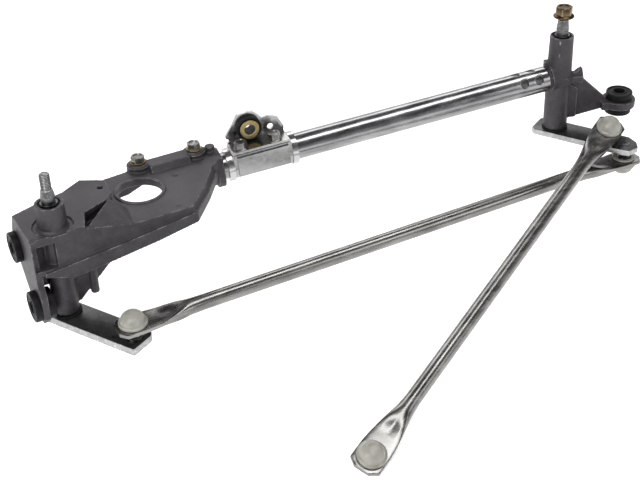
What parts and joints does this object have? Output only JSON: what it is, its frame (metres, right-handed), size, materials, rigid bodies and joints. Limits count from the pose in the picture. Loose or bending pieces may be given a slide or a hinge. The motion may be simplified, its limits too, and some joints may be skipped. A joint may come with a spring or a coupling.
{
  "type": "windscreen wiper linkage",
  "caption": "Wiper linkage: cast pivot bracket and pivot housing joined by a tube, pivot shafts with cranks, a connecting link and a drive link with ball sockets.",
  "frame": {"origin": "centre of the bore of the lower left grommet", "axes": "+X from the left pivot to the right pivot, +Y across the car away from the cranks, +Z along both pivot shafts towards the wiper arms"},
  "size_m": [0.5607, 0.3041, 0.1968],
  "materials": {
    "casting": "as die-cast, dull grey",
    "zinc_tube": "bright zinc plate",
    "bushes": "sintered bronze, oiled",
    "seals": "matt moulded rubber",
    "grommets": "matt moulded rubber",
    "thrust": "black moulded washer",
    "bolts": "zinc plated",
    "washers": "yellow passivated zinc",
    "clamp": "zinc plated",
    "sleeve": "turned, dull",
    "shafts": "turned and zinc plated",
    "cranks": "dark phosphated steel with bright sheared edges",
    "studs": "ground ball",
    "rings": "bright spring steel",
    "nut": "yellow passivated zinc, worn brown",
    "rods": "zinc plated, greyed",
    "nylon": "natural nylon, slightly translucent"
  },
  "bodies": {
    "bracket_frame": {"left_bracket": "casting", "left_upper_bush": "bushes", "left_lower_bush": "bushes", "left_seal": "seals", "left_upper_grommet": "grommets", "left_lower_grommet": "grommets", "motor_bolts": "bolts", "motor_washers": "washers", "cross_tube": "zinc_tube", "right_housing": "casting", "right_upper_bush": "bushes", "right_lower_bush": "bushes", "right_seal": "seals", "right_grommet": "grommets", "clamp_saddle": "clamp", "clamp_bracket": "clamp", "clamp_bolts": "bolts", "clamp_grommet": "grommets", "clamp_sleeve": "sleeve"},
    "left_pivot": {"left_shaft": "shafts", "left_crank": "cranks", "left_ball_stud": "studs", "left_thrust_washer": "thrust", "left_snap_ring": "rings"},
    "right_pivot": {"right_shaft": "shafts", "right_crank": "cranks", "right_upper_ball_stud": "studs", "right_lower_ball_stud": "studs", "right_thrust_washer": "thrust", "right_snap_ring": "rings", "wiper_arm_nut": "nut"},
    "connecting_link": {"connecting_rod": "rods", "connecting_left_socket": "nylon", "connecting_right_socket": "nylon"},
    "drive_link": {"drive_rod": "rods", "drive_crank_socket": "nylon", "drive_free_socket": "nylon"}
  },
  "joints": [
    {"name": "left_pivot_turn", "type": "hinge", "parent": "bracket_frame", "child": "left_pivot", "pos_m": [0.0195, 0.006, -0.017], "axis": [0, 0, 1], "range_deg": [-75, 15]},
    {"name": "right_pivot_turn", "type": "hinge", "parent": "bracket_frame", "child": "right_pivot", "pos_m": [0.4825, 0.006, 0.011], "axis": [0, 0, 1], "range_deg": [-75, 15]},
    {"name": "connecting_link_swing", "type": "hinge", "parent": "left_pivot", "child": "connecting_link", "pos_m": [0.0516, -0.05167, -0.0045], "axis": [0, 0, 1], "range_deg": [-15, 75]},
    {"name": "drive_link_swing", "type": "hinge", "parent": "right_pivot", "child": "drive_link", "pos_m": [0.50416, -0.04051, 0.0245], "axis": [0, 0, 1], "range_deg": [-15, 75]}
  ],
  "couplings": [
    {"joint": "right_pivot_turn", "follows": "left_pivot_turn", "ratio": 1},
    {"joint": "connecting_link_swing", "follows": "left_pivot_turn", "ratio": -1},
    {"joint": "drive_link_swing", "follows": "left_pivot_turn", "ratio": -1}
  ]
}
